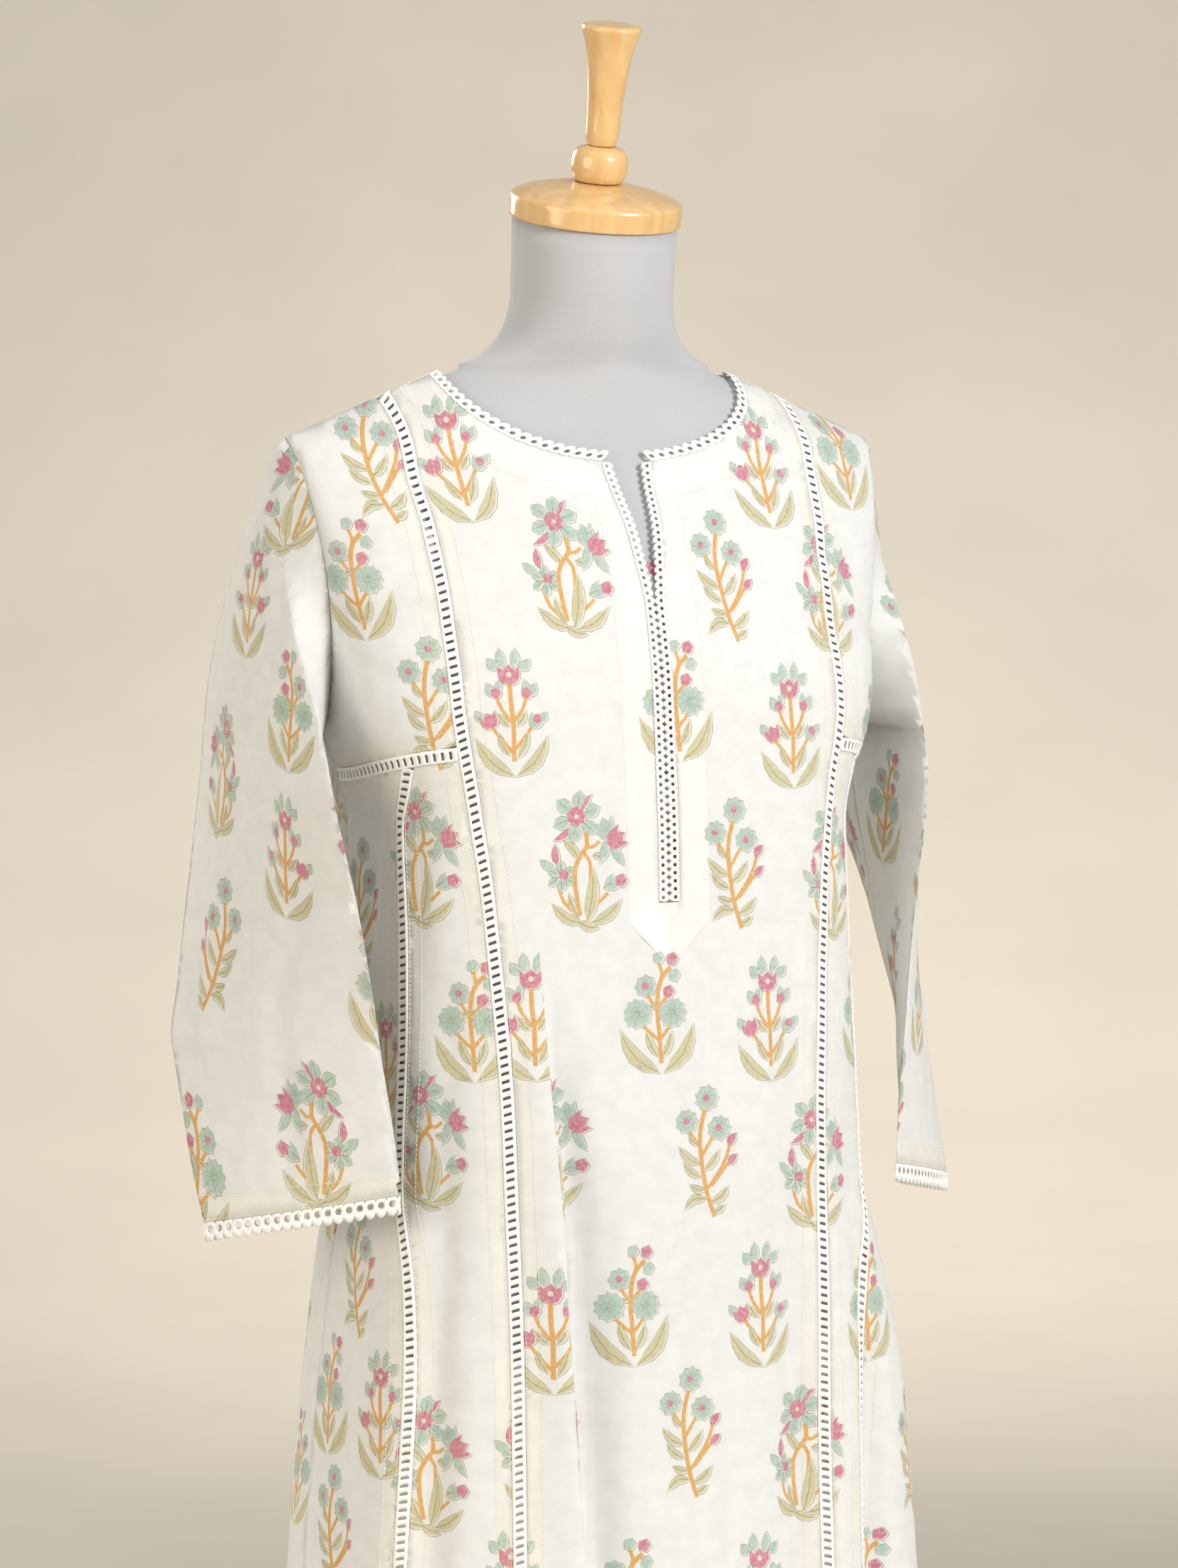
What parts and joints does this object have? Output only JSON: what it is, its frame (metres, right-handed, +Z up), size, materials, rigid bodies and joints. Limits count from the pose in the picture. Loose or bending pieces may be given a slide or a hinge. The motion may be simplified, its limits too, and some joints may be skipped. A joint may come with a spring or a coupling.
{
  "type": "kurta tunic on dress form",
  "caption": "Three-quarter-sleeve A-line cotton kurta tunic with ladder insertions and picot lace, worn by a limbless dress form on a pole and disc base.",
  "frame": {"origin": "centre of the base's underside, on the floor", "axes": "+Z up, front of the kurta towards -Y, wearer's left towards +X"},
  "size_m": [0.5288, 0.4, 1.6116],
  "materials": {
    "printed_cambric": "thin ivory cotton cambric with a sage, rose and mustard block print of flower sprigs",
    "facing_cambric": "doubled ivory cambric",
    "ladder_tape": "white ladder insertion tape",
    "picot_lace": "white cotton picot lace",
    "form_jersey": "pale grey jersey stretched over the form",
    "turned_wood": "lacquered pale wood",
    "stand_steel": "satin grey paint",
    "base_paint": "satin pale grey paint"
  },
  "bodies": {
    "root": {"front_centre": "printed_cambric", "front_yoke_right": "printed_cambric", "front_yoke_left": "printed_cambric", "front_mid_right": "printed_cambric", "front_mid_left": "printed_cambric", "front_side_right": "printed_cambric", "front_side_left": "printed_cambric", "back": "printed_cambric", "sleeve_right": "printed_cambric", "sleeve_left": "printed_cambric", "princess_strip_right": "ladder_tape", "princess_strip_left": "ladder_tape", "side_strip_right": "ladder_tape", "side_strip_left": "ladder_tape", "cross_strip_right": "ladder_tape", "cross_strip_left": "ladder_tape", "neck_lace": "picot_lace", "cuff_lace_right": "picot_lace", "cuff_lace_left": "picot_lace", "neck_facing": "facing_cambric", "form_torso": "form_jersey", "neck_cap": "turned_wood", "finial_ball": "turned_wood", "finial_handle": "turned_wood", "pole": "stand_steel", "base": "base_paint"}
  },
  "joints": []
}
